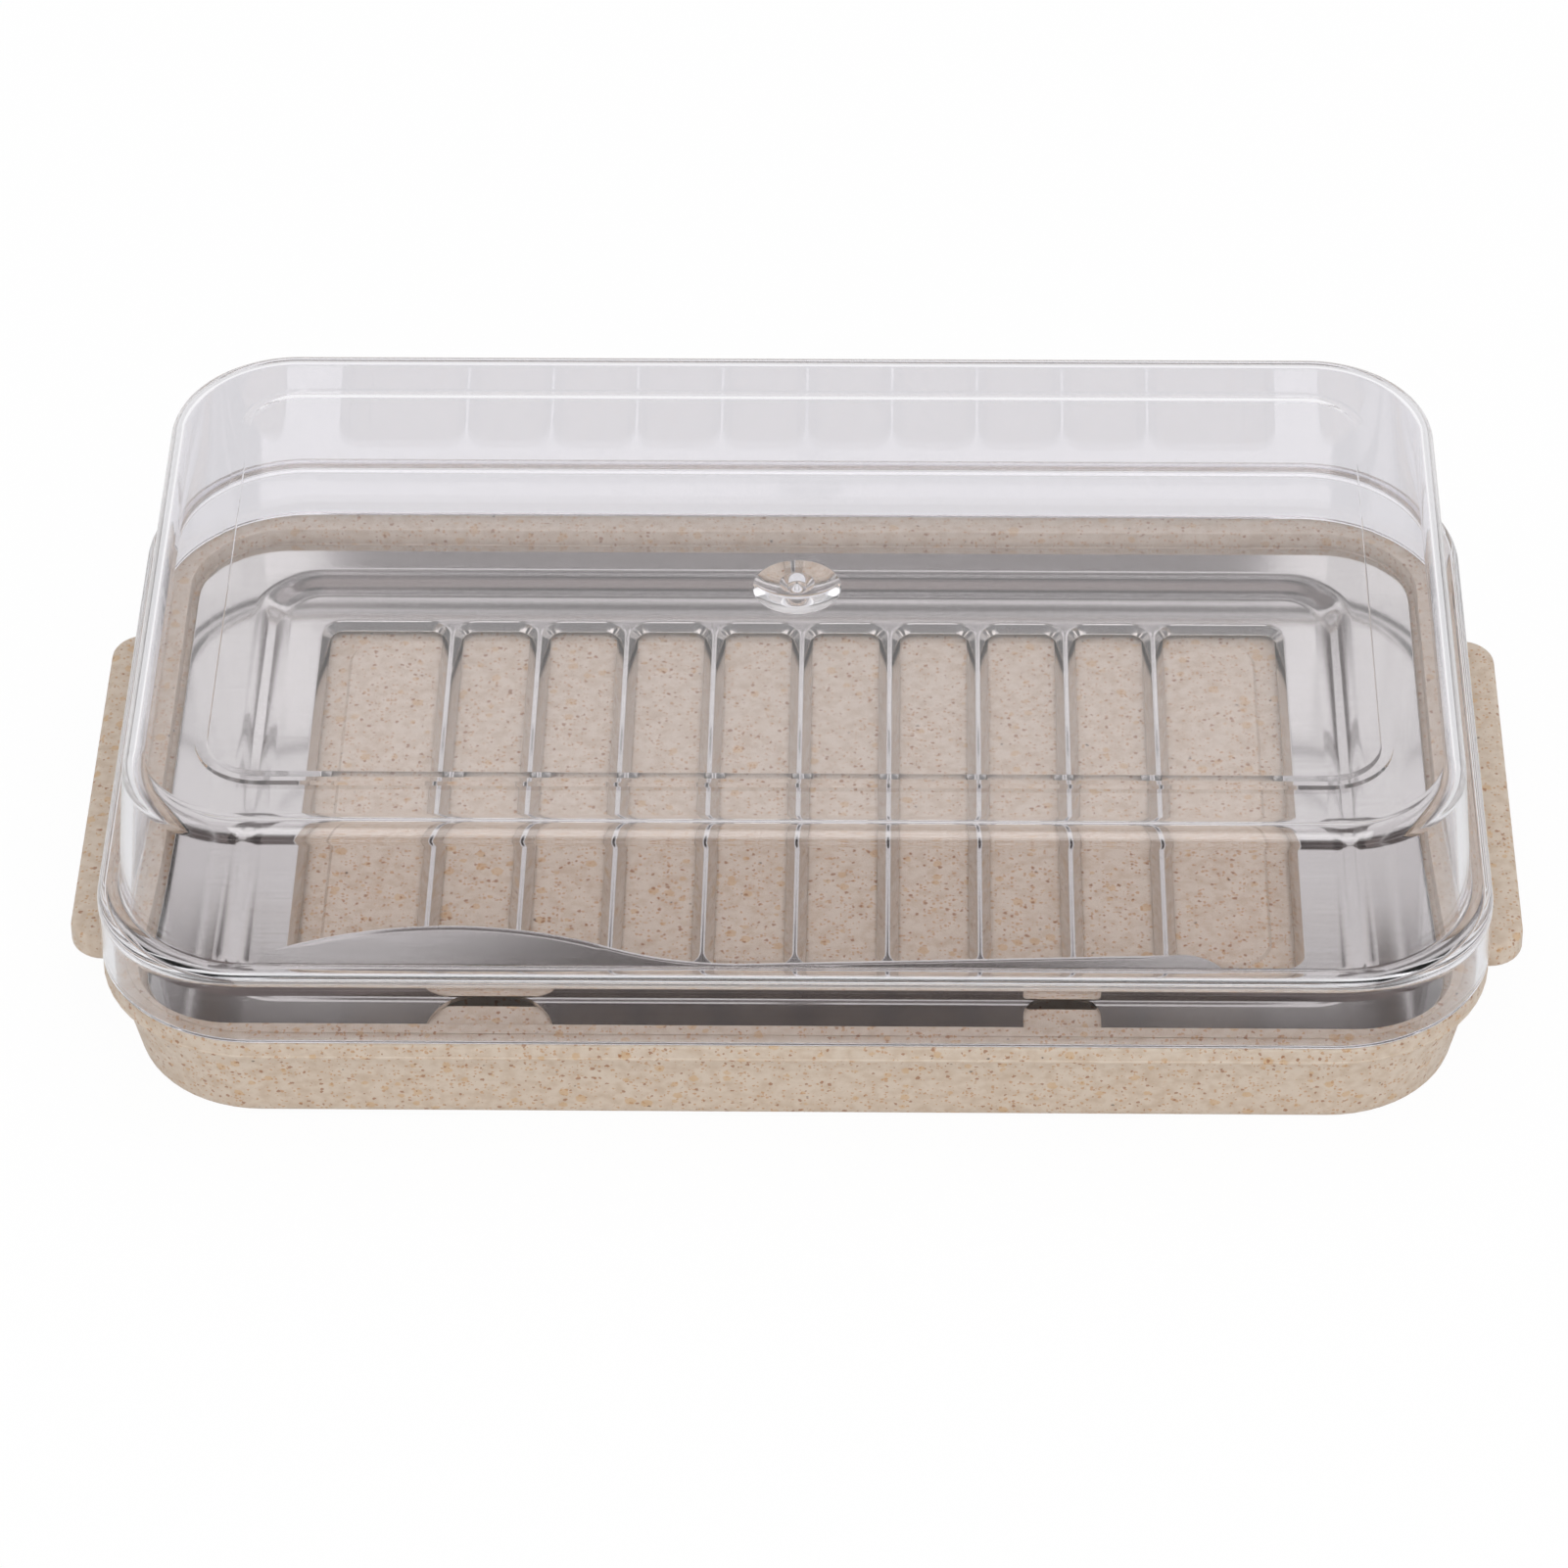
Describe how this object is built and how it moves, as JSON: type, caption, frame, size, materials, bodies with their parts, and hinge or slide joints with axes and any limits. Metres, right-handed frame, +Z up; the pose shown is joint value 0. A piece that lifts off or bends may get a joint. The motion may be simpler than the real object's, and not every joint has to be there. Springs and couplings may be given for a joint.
{
  "type": "butter dish with slicer",
  "caption": "Lidded butter dish: a speckled moulded base with grip ears, a lift-out pressed steel slicer with long windows, a flat butter knife and a clear drafted cover.",
  "frame": {"origin": "on the table under the middle of the dish", "axes": "+X along the dish from ear to ear, -Y to its front, where the knife lies, +Z up"},
  "size_m": [0.1906, 0.1128, 0.0481],
  "materials": {
    "wheat_straw_plastic": "satin, pale tan with orange-brown and dark fibre specks",
    "stainless_steel": "bright satin rolled sheet",
    "clear_plastic": "clear, glossy"
  },
  "bodies": {
    "base": {"base_dish": "wheat_straw_plastic"},
    "slicer": {"slicer": "stainless_steel"},
    "knife": {"butter_knife": "stainless_steel"},
    "cover": {"lid": "clear_plastic"}
  },
  "joints": [
    {"name": "slicer_lift", "type": "slide", "parent": "base", "child": "slicer", "axis": [0, 0, 1], "range_m": [0, 0.06]},
    {"name": "knife_lift", "type": "slide", "parent": "slicer", "child": "knife", "axis": [0, 0, 1], "range_m": [0, 0.04]},
    {"name": "lid_lift", "type": "slide", "parent": "knife", "child": "cover", "axis": [0, 0, 1], "range_m": [0, 0.08]}
  ]
}
